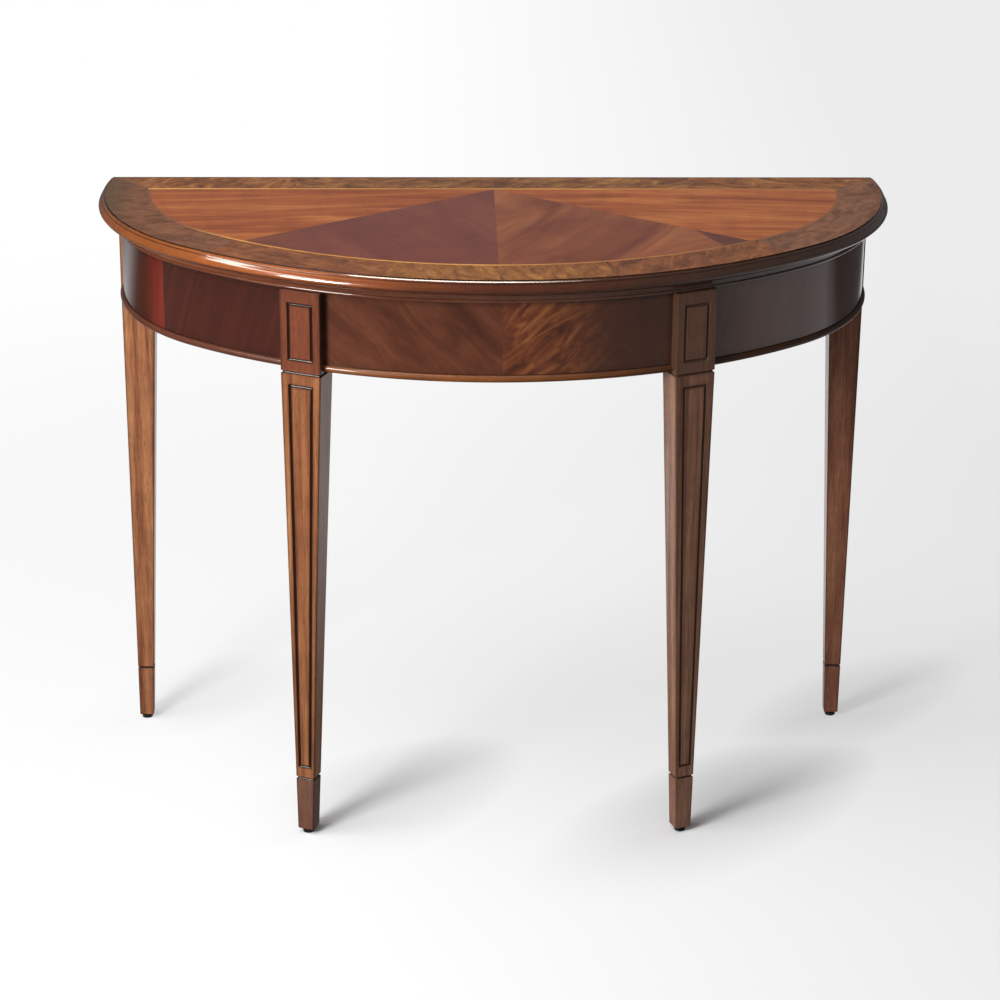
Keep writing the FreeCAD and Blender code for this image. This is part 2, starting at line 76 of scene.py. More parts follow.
def onPlan(angle, inset):
    # A point of the line that runs the inset inside the nosing, found by the direction it faces
    onSide = np.abs(angle) > jointAngle
    radius = np.where(onSide, sideRadius, bowRadius) - inset
    x = np.where(onSide, np.sign(angle) * sideX, 0.0) + radius * np.sin(angle)
    y = np.where(onSide, sideY, bowY) - radius * np.cos(angle)
    return x, y


def alongPlan(angle):
    # Length along the nosing from its middle
    turned = np.abs(angle)
    length = bowRadius * np.minimum(turned, jointAngle) + sideRadius * np.maximum(turned - jointAngle, 0)
    return np.sign(angle) * length


def tone(code):
    # An sRGB hex colour as linear light
    values = np.array([int(code[i:i + 2], 16) for i in (1, 3, 5)]) / 255
    linear = np.where(values <= 0.04045, values / 12.92, ((values + 0.055) / 1.055) ** 2.4)
    return (*linear.tolist(), 1.0)


creaseAngle = math.radians(34)  # an edge that turns by more than this stays sharp


def surface(name, points, along, glazeAndShade, node):
    # A grid of points, closed round its columns and capped at its first and last rows
    rows, columns = points.shape[:2]
    index = np.arange(rows * columns).reshape(rows, columns)
    right = np.roll(index, -1, axis=1)
    quads = np.stack([index[:-1], right[:-1], right[1:], index[1:]], axis=-1).reshape(-1, 4)
    faces = quads.tolist() + [index[0, ::-1].tolist(), index[-1].tolist()]
    flat = points.reshape(-1, 3)
    mesh = bpy.data.meshes.new(name)
    mesh.from_pydata(flat.tolist(), [], faces)
    corner = flat[quads]
    volume = np.einsum("ij,ij->", corner[:, 0] - flat.mean(0),
                       np.cross(corner[:, 1] - corner[:, 0], corner[:, 2] - corner[:, 0]))
    if volume < 0:
        mesh.flip_normals()
    used = np.empty(len(mesh.loops), int)
    mesh.loops.foreach_get("vertex_index", used)
    mesh.uv_layers.new(name="along").data.foreach_set("uv", along.reshape(-1, 2)[used].ravel())
    mesh.attributes.new("glazeAndShade", "FLOAT", "POINT").data.foreach_set("value", glazeAndShade.ravel())
    mesh.shade_smooth()
    mesh.set_sharp_from_angle(angle=creaseAngle)
    piece = bpy.data.objects.new(name, mesh)
    bpy.context.scene.collection.objects.link(piece)
    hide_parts(node)
    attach(piece, "table")
    return piece


def swept(node, profile, start, end, steps):
    # A closed profile of insets, heights and glaze carried along the plan between two ends
    inset, height, glazeAndShade = np.array(profile, float).T
    share = np.linspace(0, 1, steps)[:, None]
    angle = start(inset) * (1 - share) + end(inset) * share
    x, y = onPlan(angle, inset)
    z = np.broadcast_to(height, x.shape)
    points = np.stack([x, y, z], axis=-1)
    step = np.hypot(np.diff(inset), np.diff(height))
    girth = np.broadcast_to(np.concatenate([[0], np.cumsum(step)]), x.shape)
    along = np.stack([alongPlan(angle), girth], axis=-1)
    return surface(node + "Shown", points, along, np.broadcast_to(glazeAndShade, x.shape), node)


def arc(first, through, last, count):
    # Points on the circle through three points, first and last left out
    (ax, ay), (bx, by), (cx, cy) = first, through, last
    lines = np.array([[bx - ax, by - ay], [cx - ax, cy - ay]])
    sides = np.array([(bx * bx - ax * ax + by * by - ay * ay) / 2,
                      (cx * cx - ax * ax + cy * cy - ay * ay) / 2])
    centre = np.linalg.solve(lines, sides)
    angles = np.unwrap([math.atan2(y - centre[1], x - centre[0]) for x, y in (first, through, last)])
    radius = math.hypot(ax - centre[0], ay - centre[1])
    turn = np.linspace(angles[0], angles[2], count + 2)[1:-1]
    return [(centre[0] + radius * math.cos(angle), centre[1] + radius * math.sin(angle)) for angle in turn]


# Legs: sizes at head and foot, where the front blocks stand on the bow, and how much glaze stays where,
# with painted shade on the blocks' flanks
legs = {
    "frontAngle": math.radians(22.74), "frontRadius": 0.63495, "halfWidth": 0.028, "halfDepth": 0.01925,
    "footWidth": 0.0225, "footDepth": 0.0205, "outerTaper": 0.0125, "neck": 0.0150,
    "backWidth": 0.046, "backFoot": 0.020, "backNeck": 0.0095,
    "blockBottom": 0.667, "footHeight": 0.007, "heel": 0.0005, "heelRise": 0.0006, "cuff": 0.084,
    "groove": 0.0042, "grooveDepth": 0.0020, "hollowPower": 0.7, "arris": 0.0011, "halo": 0.0022,
    "panelFoot": 0.100, "panelHead": 0.651, "panelFootMargin": 0.004, "panelMargin": 0.010,
    "blockPanel": (0.683, 0.762), "leastRise": 0.0003,
    "bore": ((0.0033, 0.027), (0.0033, 0.0203), (0.0053, 0.0203), (0.0053, 0.007)),
    "rows": ((0.012, 0.078, 5), (0.090, 0.660, 24), (0.672, 0.774, 8)),  # plain rows of cuff, shaft and block
    "crossShares": (0.12, 0.3, 0.5, 0.7, 0.88), "faceShares": (0, 0.06, 0.2, 0.5, 0.8, 0.94, 1),
    "bendSteps": 5, "wornReach": 0.0030, "flankReach": 0.0002,
    "wornGlaze": 0.75, "grooveGlaze": 2.5, "haloGlaze": 0.35, "frameGlaze": 0.16, "flankShade": 0.8,
    "hiddenGlaze": 0.5,
}


def atBack(inset, y):
    # Where the line meets a cross line near the back, on the right
    return math.pi / 2 + np.arcsin(np.clip((y - sideY) / (sideRadius - inset), -1, 1))


def atFrontLeg(inset, side):
    # Where the line meets a flank of the right front leg's block, side 1 for the outer flank
    return legs["frontAngle"] + side * np.arcsin(legs["halfWidth"] / (bowRadius - inset))


# Nosing: a bevel and a quirk at the top, a long swelling face, and a quarter round underneath that darkens
# downwards as painted shade; its outline, like the three after it, is a list of insets, heights and amounts
# of glaze and painted shade
edge = {
    "reach": 0.009, "ledge": 0.0070, "top": 0.8118, "seam": math.radians(38.45),
    "toe": 0.007, "noseDrop": 0.0120,
    "bevel": ((0.0068, 0.0), (0.0058, 0.0010), (0.0048, 0.0021)),
    "quirk": ((0.0047, 0.0025), (0.0045, 0.0028)),
    "face": ((0.0037, 0.0043), (0.0027, 0.0060), (0.0017, 0.0077), (0.0009, 0.0092), (0.00035, 0.0106),
             (0.0, 0.0120)),
    "seatGlaze": 0.6, "ledgeGlaze": 1.0, "quirkGlaze": 0.8, "underShade": 0.75,
    "underSteps": 14, "steps": {"front": 161, "right": 121, "left": 121},
}
noseZ = edge["top"] - edge["noseDrop"]
fall = noseZ - underTop
lower = np.linspace(0, math.pi / 2, edge["underSteps"])[1:]
nosing = [(edge["reach"], underTop, edge["seatGlaze"]), (edge["reach"], edge["top"], edge["ledgeGlaze"]),
          (edge["ledge"], edge["top"], edge["ledgeGlaze"])]
nosing += [(inset, edge["top"] - drop, 0.0) for inset, drop in edge["bevel"]]
nosing += [(inset, edge["top"] - drop, edge["quirkGlaze"]) for inset, drop in edge["quirk"]]
nosing += [(inset, edge["top"] - drop, 0.0) for inset, drop in edge["face"]]
# painted shade on the quarter round underneath, darkest at its foot
nosing += [(edge["toe"] * (1 - math.cos(angle)), noseZ - fall * math.sin(angle),
            edge["underShade"] * math.sin(angle)) for angle in lower]

# Bed moulding: a fillet, a hollow and a small bead at its foot
bed = {
    "inner": 0.0287, "outer": 0.013, "toe": 0.022, "fillet": 0.003, "sag": 0.2, "bead": 0.004,
    "lip": 0.0008, "arris": (0.0005, 0.0006), "heel": 0.0003, "hollowSteps": 14, "beadSteps": 10,
    "seatGlaze": 0.5, "jointGlaze": 0.9, "lipGlaze": 0.6, "faceGlaze": 0.1, "arrisGlaze": 0.2,
    "quirkGlaze": 0.35,
}
filletAt = (bed["outer"], underTop - bed["fillet"])
quirkAt = (bed["toe"], underBed + bed["bead"])
chord = (quirkAt[0] - filletAt[0], quirkAt[1] - filletAt[1])
hollowAt = (filletAt[0] + chord[0] / 2 - chord[1] * bed["sag"],
            filletAt[1] + chord[1] / 2 + chord[0] * bed["sag"])
swellAt = (bed["toe"] - bed["bead"] / 2, underBed + bed["bead"] / 2)
bedProfile = [
    (bed["inner"], underBed, bed["seatGlaze"]), (bed["inner"], underTop, bed["seatGlaze"]),
    (bed["outer"], underTop, bed["jointGlaze"]), (bed["outer"], underTop - bed["lip"], bed["lipGlaze"]),
    (bed["outer"], filletAt[1] + bed["arris"][1], bed["faceGlaze"]),
    (bed["outer"] + bed["arris"][0], filletAt[1], bed["arrisGlaze"]),
]
bedProfile += [(inset, height, bed["faceGlaze"])
               for inset, height in arc(filletAt, hollowAt, quirkAt, bed["hollowSteps"])]
bedProfile += [(bed["toe"], quirkAt[1], bed["quirkGlaze"])]
bedProfile += [(inset, height, 0.0)
               for inset, height in arc(quirkAt, swellAt, (bed["toe"], underBed), bed["beadSteps"])]
bedProfile += [(bed["toe"] + bed["heel"], underBed, bed["seatGlaze"])]

# Bead along the lower edge of the apron
bead = {"inner": 0.0297, "shoulder": 0.028, "nose": 0.0245, "arcSteps": 18, "steps": 101,
        "seatGlaze": 0.5, "jointGlaze": 0.9, "faceGlaze": 0.1}
beadMiddle = (beadTop + beadBottom) / 2
beadArc = arc((bead["shoulder"], beadTop), (bead["nose"], beadMiddle), (bead["shoulder"], beadBottom),
              bead["arcSteps"])
beadProfile = [(bead["inner"], beadBottom, bead["seatGlaze"]), (bead["inner"], beadTop, bead["jointGlaze"]),
               (bead["shoulder"], beadTop, bead["jointGlaze"])]
beadProfile += [(inset, height, bead["faceGlaze"]) for inset, height in beadArc]
beadProfile += [(bead["shoulder"], beadBottom, bead["seatGlaze"])]

# Apron leaves: thin sheets; the first list gives the painted shadow under the bed moulding and the second a
# darkening towards the bead, as distances from the bed moulding and from the bead, with amounts
apron = {
    "face": 0.029, "rear": 0.0297, "legFront": 0.1675, "sideSeam": math.radians(49), "centreSeam": 0.005,
    "shadeUnderBed": ((0.0, 0.5), (0.004, 0.3), (0.011, 0.0)), "lower": ((0.012, 0.0), (0.0015, 0.15), (0.0, 0.6)),
    "rearGlaze": 0.3, "hiddenGlaze": 0.5, "steps": 61,
}
leaf = [(apron["rear"], beadTop, apron["rearGlaze"]), (apron["rear"], underTop, apron["rearGlaze"]),
        (apron["face"], underTop, apron["hiddenGlaze"])]
# painted shadow under the bed moulding
leaf += [(apron["face"], underBed - drop, glazeAndShade) for drop, glazeAndShade in apron["shadeUnderBed"]]
leaf += [(apron["face"], beadTop + rise, glazeAndShade) for rise, glazeAndShade in apron["lower"]]

shown = {}
seam = edge["seam"]
lengths = {
    "front": (lambda inset: -seam + 0 * inset, lambda inset: seam + 0 * inset),
    "right": (lambda inset: seam + 0 * inset, lambda inset: atBack(inset, back)),
    "left": (lambda inset: -atBack(inset, back), lambda inset: -seam + 0 * inset),
}
for base, profile in (("edge_moulding", nosing), ("bed_moulding", bedProfile)):
    for length, (start, end) in lengths.items():
        node = f"{base}_{length}"
        shown[node] = swept(node, profile, start, end, edge["steps"][length])
legFront = apron["legFront"]
centreSeam = math.asin(apron["centreSeam"] / (bowRadius - apron["face"]))
sideSeam = apron["sideSeam"]
runs = {
    "apron_bead_left": (lambda inset: -atBack(inset, legFront), lambda inset: -atFrontLeg(inset, 1)),
    "apron_bead_centre": (lambda inset: -atFrontLeg(inset, -1), lambda inset: atFrontLeg(inset, -1)),
    "apron_bead_right": (lambda inset: atFrontLeg(inset, 1), lambda inset: atBack(inset, legFront)),
    "apron_veneer_left_a": (lambda inset: -atBack(inset, legFront), lambda inset: -sideSeam + 0 * inset),
    "apron_veneer_left_b": (lambda inset: -sideSeam + 0 * inset, lambda inset: -atFrontLeg(inset, 1)),
    "apron_veneer_centre_a": (lambda inset: -atFrontLeg(inset, -1), lambda inset: centreSeam + 0 * inset),
    "apron_veneer_centre_b": (lambda inset: centreSeam + 0 * inset, lambda inset: atFrontLeg(inset, -1)),
    "apron_veneer_right_a": (lambda inset: atFrontLeg(inset, 1), lambda inset: sideSeam + 0 * inset),
    "apron_veneer_right_b": (lambda inset: sideSeam + 0 * inset, lambda inset: atBack(inset, legFront)),
}
for node, (start, end) in runs.items():
    if "bead" in node:
        shown[node] = swept(node, beadProfile, start, end, bead["steps"])
    else:
        shown[node] = swept(node, leaf, start, end, apron["steps"])
print("mouldings and apron leaves:", len(shown))


def hollow(share):
    # Round-bottomed groove, 0 at its lips and 1 at its middle
    return np.sin(np.pi * np.clip(share, 0, 1)) ** legs["hollowPower"]


def leg(node, head, foot, neck, place, turn, panelled):
    # Rows of rounded rectangles from the leveller's bore up to the neck behind the bed moulding;
    # each row's sides run straight from foot to block, less the depth of the grooves
    groove = legs["groove"]
    halo = legs["halo"] / groove
    cross = np.array([-halo, -halo / 2, 0, *legs["crossShares"], 1, 1 + halo / 2, 1 + halo])
    lines = [legs["cuff"], legs["blockBottom"]]
    heights = [np.array([legs["footHeight"], legs["footHeight"] + legs["heelRise"], underBed])]
    heights += [line + groove * (cross - 0.5) for line in lines]
    heights += [np.linspace(*rows) for rows in legs["rows"]]
    panels = [(legs["panelFoot"], legs["panelHead"]), legs["blockPanel"]]
    if panelled:
        heights += [bottom + groove * cross for bottom, top in panels]
        heights += [top - groove * cross for bottom, top in panels]
    z = np.unique(np.round(np.concatenate(heights), 6))[:, None]
    share = np.clip((z - legs["footHeight"]) / (legs["blockBottom"] - legs["footHeight"]), 0, 1)
    ring = sum(hollow((z - line) / groove + 0.5) for line in lines)
    heel = np.where(z < legs["footHeight"] + legs["heelRise"] / 2, legs["heel"], 0)
    inset = legs["grooveDepth"] * ring + heel
    x0, x1, y0, y1 = (atFoot + (atHead - atFoot) * share + sign * inset
                      for atFoot, atHead, sign in zip(foot, head, (1, -1, 1, -1)))
    margin = np.interp(z, (legs["panelFoot"], legs["panelHead"]),
                       (legs["panelFootMargin"], legs["panelMargin"]))
    arris = legs["arris"]
    plain = np.array(legs["faceShares"])
    width = x1 - x0
    if panelled:
        rise = np.maximum(margin - legs["halo"] - arris, legs["leastRise"])
        stops = np.hstack([arris + rise * np.array([0, 0.5]), margin + groove * cross])
        across = np.hstack([stops, width / 2, width - stops[:, ::-1]])
    else:
        across = arris + (width - 2 * arris) * plain
    deep = arris + (y1 - y0 - 2 * arris) * plain
    frontX = x0 + across
    depth = np.zeros_like(frontX)
    stain = np.zeros_like(frontX)
    framed = np.zeros_like(frontX)
    if panelled:
        sideways = np.minimum(across - margin, width - margin - across)
        for bottom, top in panels:
            upright = np.minimum(z - bottom, top - z)
            inward = np.minimum(sideways, upright) / groove
            depth = np.maximum(depth, hollow(inward))
            stain = np.maximum(stain, np.clip(1 - (np.abs(inward - 0.5) - 0.5) / halo, 0, 1))
        outside = (frontX - x0 < margin) | (x1 - frontX < margin) | (z > legs["blockPanel"][1])
        framed = np.where(outside & (z > legs["blockBottom"]), legs["frameGlaze"], 0.0)
    bend = np.linspace(0, math.pi / 2, legs["bendSteps"])[1:-1]
    sides = [
        (frontX, y0 + legs["grooveDepth"] * depth),
        (x1 - arris + arris * np.sin(bend), y0 + arris - arris * np.cos(bend)),
        (x1 + 0 * deep, y0 + deep),
        (x1 - arris + arris * np.cos(bend), y1 - arris + arris * np.sin(bend)),
        (x1 - arris - (width - 2 * arris) * plain, y1 + 0 * z * plain),
        (x0 + arris - arris * np.sin(bend), y1 - arris + arris * np.cos(bend)),
        (x0 + 0 * deep, y1 - deep),
        (x0 + arris - arris * np.cos(bend), y0 + arris - arris * np.sin(bend)),
    ]
    x = np.hstack([runX for runX, runY in sides])
    y = np.hstack([runY for runX, runY in sides])
    toEdge = np.sort(np.stack([x - x0, x1 - x, y - y0, y1 - y]), axis=0)[1]
    worn = np.clip(1 - toEdge / legs["wornReach"], 0, 1) * legs["wornGlaze"]
    glazeAndShade = np.maximum(worn, np.clip(legs["grooveGlaze"] * ring, 0, 1))
    front = slice(0, frontX.shape[1])
    grooved = np.clip(legs["grooveGlaze"] * depth, 0, 1)
    glazeAndShade[:, front] = np.maximum.reduce([glazeAndShade[:, front], framed, legs["haloGlaze"] * stain, grooved])
    if panelled:
        # painted shade on the flanks of a block, beside the apron and from the foot of the bead up
        flank = (toEdge > 0.0) & (np.minimum(x - x0, x1 - x) < legs["flankReach"]) & (z > beadBottom)
        glazeAndShade = np.where(flank, legs["flankShade"], glazeAndShade)
    footX, footY = (foot[0] + foot[1]) / 2, (foot[2] + foot[3]) / 2
    facing = np.arctan2(y[0] - footY, x[0] - footX)
    boreX = [footX + radius * np.cos(facing) for radius, level in legs["bore"]]
    boreY = [footY + radius * np.sin(facing) for radius, level in legs["bore"]]
    neckX = np.clip(x[-1], neck[0], neck[1])
    neckY = np.clip(y[-1], neck[2], neck[3])
    localX = np.vstack([*boreX, x, neckX, neckX])
    localY = np.vstack([*boreY, y, neckY, neckY])
    level = np.concatenate([[level for radius, level in legs["bore"]], z[:, 0], [underBed, underTop]])
    inBore = np.full((len(boreX), x.shape[1]), legs["hiddenGlaze"])
    inNeck = np.full((2, x.shape[1]), legs["hiddenGlaze"])
    glazeAndShade = np.vstack([inBore, glazeAndShade, inNeck])
    cosTurn, sinTurn = math.cos(turn), math.sin(turn)
    points = np.stack([place[0] + cosTurn * localX - sinTurn * localY,
                       place[1] + sinTurn * localX + cosTurn * localY,
                       np.broadcast_to(level[:, None], localX.shape)], axis=-1)
    along = np.stack([points[..., 2], localX], axis=-1)
    return surface(node + "Shown", points, along, glazeAndShade, node)


half, deepHalf = legs["halfWidth"], legs["halfDepth"]
for hand, side in ((-1, "left"), (1, "right")):
    turn = hand * legs["frontAngle"]
    place = (legs["frontRadius"] * math.sin(turn), bowY - legs["frontRadius"] * math.cos(turn))
    outer = hand * (half - legs["outerTaper"])
    footX = sorted((outer, outer - hand * legs["footWidth"]))
    node = "front_leg_" + side
    shown[node] = leg(node, (-half, half, -deepHalf, deepHalf),
                      (*footX, -deepHalf, -deepHalf + legs["footDepth"]),
                      (-half, half, -deepHalf + legs["neck"], deepHalf), place, turn, True)
    node = "back_leg_" + side
    (x0, y0, z0), (x1, y1, z1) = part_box(node)
    outerX = x1 if hand > 0 else x0
    headX = sorted((outerX, outerX - hand * legs["backWidth"]))
    footX = sorted((outerX, outerX - hand * legs["backFoot"]))
    neckX = sorted((outerX - hand * legs["backNeck"], outerX - hand * legs["backWidth"]))
    shown[node] = leg(node, (*headX, y1 - legs["backWidth"], y1), (*footX, y1 - legs["backFoot"], y1),
                      (*neckX, y1 - legs["backWidth"], y1), (0, 0), 0, False)
print("legs shown")


def add(tree, kind, links=None, stops=None, **settings):
    # A node with its settings; a value that is a socket is linked, any other is set
    node = tree.nodes.new(kind)
    for key, value in settings.items():
        setattr(node, key, value)
    if stops:
        ramp = node.color_ramp
        while len(ramp.elements) < len(stops):
            ramp.elements.new(0.5)
        for element, (position, colour) in zip(ramp.elements, stops):
            element.position = position
            element.color = colour
    for socket, value in (links or {}).items():
        if isinstance(value, bpy.types.NodeSocket):
            tree.links.new(value, node.inputs[socket])
        else:
            node.inputs[socket].default_value = value
    return node


def grey(value):
    # A plain grey as a colour
    return (value, value, value, 1.0)


noiseSpan = (0.3, 0.7)  # most of a noise texture lies between these


def wood(name, look):
    # Stained wood under satin lacquer: bands of growth, short fibres, figure across the grain, open pores,
    # and dark glaze left in the quirks together with painted shade, both from one attribute of the mesh;
    # lengths in metres, the grain along the turned X
    material = bpy.data.materials.new(name)
    material.use_nodes = True
    tree = material.node_tree
    tree.nodes.clear()
    source = add(tree, "ShaderNodeTexCoord").outputs[look["coords"]]
    turn = tuple(math.radians(angle) for angle in look["turn"])
    board = add(tree, "ShaderNodeMapping", {"Vector": source, "Location": look["place"],
                                            "Rotation": turn}).outputs[0]

    def layer(along, across, detail, roughness, distortion):
        scaled = add(tree, "ShaderNodeMapping", {"Vector": board,
                                                 "Scale": (1 / along, 1 / across, 1 / across)})
        return add(tree, "ShaderNodeTexNoise", {
            "Vector": scaled.outputs[0], "Scale": 1.0, "Detail": detail, "Roughness": roughness,
            "Distortion": distortion}).outputs[0]

    bands = layer(*look["bands"])
    stops = [(at, tone(code)) for at, code in zip(look["bandStops"], look["tones"])]
    colour = add(tree, "ShaderNodeValToRGB", {0: bands}, stops).outputs[0]
    for axis, start, end, far in look["fades"]:  # the tone goes over to another along one axis
        run = add(tree, "ShaderNodeSeparateXYZ", {0: source}).outputs[axis]
        gone = add(tree, "ShaderNodeMapRange", {0: run, 1: start, 2: end},
                   interpolation_type="SMOOTHSTEP").outputs[0]
        colour = add(tree, "ShaderNodeMix", {0: gone, 6: colour, 7: tone(far)}, data_type="RGBA").outputs[2]
    layers = {}
    for kind in ("fibre", "figure", "pore"):
        layers[kind] = layer(*look[kind])
        stops = [(at, grey(level)) for at, level in look[kind + "Ramp"]]
        shade = add(tree, "ShaderNodeValToRGB", {0: layers[kind]}, stops).outputs[0]
        colour = add(tree, "ShaderNodeMix", {0: look[kind + "Share"], 6: colour, 7: shade},
                     data_type="RGBA", blend_type="MULTIPLY").outputs[2]
    # dark glaze in the quirks and painted shade, as much as the mesh's attribute gives
    if "glazeAndShade" in look:
        quirk = add(tree, "ShaderNodeAttribute", attribute_name="glazeAndShade").outputs["Fac"]
        colour = add(tree, "ShaderNodeMix", {0: quirk, 6: colour, 7: tone(look["glazeAndShade"])},
                     data_type="RGBA").outputs[2]
    if "cutEdge" in look:  # a veneer's edge, where the surface doesn't face up
        facing = add(tree, "ShaderNodeTexCoord").outputs["Normal"]
        upward = add(tree, "ShaderNodeSeparateXYZ", {0: facing}).outputs[2]
        flat = add(tree, "ShaderNodeMapRange", {0: upward, 1: look["edgeSpan"][0],
                                                2: look["edgeSpan"][1]}).outputs[0]
        colour = add(tree, "ShaderNodeMix", {0: flat, 6: tone(look["cutEdge"]), 7: colour},
                     data_type="RGBA").outputs[2]
    polish = add(tree, "ShaderNodeMapRange", {0: layers["fibre"], 1: noiseSpan[0], 2: noiseSpan[1],
                                              3: look["rough"] + look["uneven"],
                                              4: look["rough"] - look["uneven"]}).outputs[0]
    relief = add(tree, "ShaderNodeBump", {"Height": layers["fibre"], "Strength": look["relief"],
                                          "Distance": look["reliefDepth"]})
    coat = look["coat"]
    if "dulled" in look:  # the lacquer wears off along X
        run = add(tree, "ShaderNodeSeparateXYZ", {0: source}).outputs[0]
        coat = add(tree, "ShaderNodeMapRange", {0: run, 1: look["dulled"][0], 2: look["dulled"][1],
                                                3: coat, 4: 0.0}).outputs[0]
    shader = add(tree, "ShaderNodeBsdfPrincipled", {
        "Base Color": colour, "Roughness": polish, "IOR": look["ior"], "Normal": relief.outputs[0],
        "Specular IOR Level": look["shine"], "Coat Weight": coat,
        "Coat Roughness": look["coatRough"], "Coat IOR": look["ior"]})
    add(tree, "ShaderNodeOutputMaterial", {"Surface": shader.outputs[0]})
    return material


def wear(piece, material):
    # Puts one material on a piece in place of what it had
    piece.data.materials.clear()
    piece.data.materials.append(material)


# Mahogany: brown-red growth bands with fine fibres and open pores. Bands and figure have their real sizes;
# pores and fibres are drawn about three times too coarse so that they show at this distance. A layer is its
# length along the grain, its width across it, and the noise's detail, roughness and distortion
mahogany = {
    "coords": "Object", "turn": (0, 0, 0), "place": (0, 0, 0), "fades": (),
    "bands": (0.30, 0.014, 3, 0.55, 0.6), "bandStops": (0.30, 0.50, 0.70),
    "fibre": (0.045, 0.0016, 2, 0.6, 0.2), "fibreRamp": ((0.32, 0.55), (0.66, 1.3)), "fibreShare": 0.45,
    "figure": (0.030, 0.090, 2, 0.5, 0.4), "figureRamp": ((0.34, 0.5), (0.68, 1.5)), "figureShare": 0.15,
    "pore": (0.012, 0.0012, 1, 0.5, 0.0), "poreRamp": ((0.30, 0.25), (0.40, 1.0)), "poreShare": 0.4,
    "rough": 0.32, "uneven": 0.05, "relief": 0.12, "reliefDepth": 0.0004,
    "ior": 1.5, "shine": 0.2, "coat": 0.1, "coatRough": 0.06,
}
# Planed poplar: dull, without lacquer; it shows mostly from behind and below
poplar = {**mahogany, "tones": ("#6C4834", "#875D44", "#997054"), "rough": 0.6, "coat": 0.0, "relief": 0.3}
# Satinwood strings: thin bright lines that darken towards the ends
satinwood = {**mahogany, "tones": ("#A8682A", "#C88A40", "#D89E52"), "poreShare": 0.1, "fibreShare": 0.25}
stringFades = {
    "string_back": ((0, 0.10, 0.42, "#9A6232"),),
    "string_curved": ((0, -0.34, -0.43, "#75492C"), (0, -0.05, 0.12, "#A86C34"), (0, 0.2, 0.36, "#80502E")),
}
# Rear leaves: light orange veneer, streaked lengthways
rearLeaf = {**mahogany, "bands": (0.24, 0.020, 3, 0.6, 0.7), "fibre": (0.060, 0.0022, 3, 0.6, 0.3),
            "fibreShare": 0.12, "poreShare": 0.2, "shine": 0.12, "coat": 0.05}
rearGrain = {"turn": 4, "shift": (0.3, 0.1)}
rearTones = {"left": ("#7C3C1F", "#954F29", "#AC6836"), "right": ("#823F20", "#9C542C", "#B46E3A")}
# Main and wedge leaves: plum-brown veneer, nearly plain on the left, warmer on the right
mainLeaf = {**mahogany, "bands": (0.22, 0.060, 3, 0.55, 0.8), "figure": (0.035, 0.13, 2, 0.55, 0.6),
            "figureShare": 0.12, "fibreShare": 0.14, "poreShare": 0.12}
mainLooks = {"left": {"turn": (0, 0, 60), "tones": ("#66322A", "#6E382C", "#764032")},
             "right": {"turn": (0, 0, -60), "tones": ("#6A3220", "#7E4429", "#965834")}}
wedgeTones = {"left": ("#582719", "#683421", "#76402B"), "right": ("#522620", "#643226", "#743E30")}
# Burr border: clouded, speckled veneer with a dark cut edge, shaded along the back and the left end
burr = {**mahogany, "bands": (0.050, 0.024, 5, 0.66, 1.4), "fibre": (0.020, 0.0018, 3, 0.6, 0.6),
        "figure": (0.012, 0.020, 3, 0.6, 1.2), "figureShare": 0.3, "fibreShare": 0.36, "cutEdge": "#1C0F0A",
        "edgeSpan": (0.3, 0.7), "coat": 0.03, "shine": 0.12, "rough": 0.36}
burrGrain = {"firstTurn": 70, "turn": 30, "shift": (0.7, 0.9)}
burrTones = {"front": ("#5C381E", "#84522C", "#A4703A"), "bow": ("#563020", "#7A482C", "#905A36"),
             "end": ("#523020", "#724832", "#84563A"), "back_inner": ("#4C2E1C", "#7C4E2E", "#A4743E"),
             "back_outer": ("#502E1A", "#84502C", "#AA7440")}
rightEnd = ("#563626", "#784E38", "#90644A")
backShade = ((1, 0.2190, 0.2218, "#24150E"),)
leftShade = ((0, -0.46, -0.54, "#54402C"),)
# Mouldings: polished to a gloss, glaze in the quirks; nosing, bed moulding and bead darken from orange brown
# at the left to dark brown at the right as painted shade, and the nosing and bead also darken a little at
# their left ends
mouldingWood = {**mahogany, "coords": "UV", "glazeAndShade": "#1A0C08", "rough": 0.20, "coat": 1.0, "shine": 0.25,
                "bands": (0.30, 0.006, 3, 0.55, 0.4), "fibreShare": 0.3, "relief": 0.05}
nosingLook = {**mouldingWood, "tones": ("#74381A", "#8E4A22", "#A05A2A"),
              "fades": ((0, -0.34, -0.50, "#78421F"), (0, -0.30, 0.0, "#4E2819"), (0, 0.02, 0.24, "#40281D"))}
bedLook = {**mouldingWood, "tones": ("#5A2C18", "#723E26", "#824C32"),
           "fades": ((0, -0.30, 0.26, "#563B2F"),)}
beadLook = {**mouldingWood, "tones": ("#5C3016", "#7C4620", "#96602E"),
            "fades": ((0, -0.05, 0.36, "#442818"), (0, -0.26, -0.32, "#5A3020")), "coat": 0.6,
            "dulled": (-0.20, -0.05), "rough": 0.42}
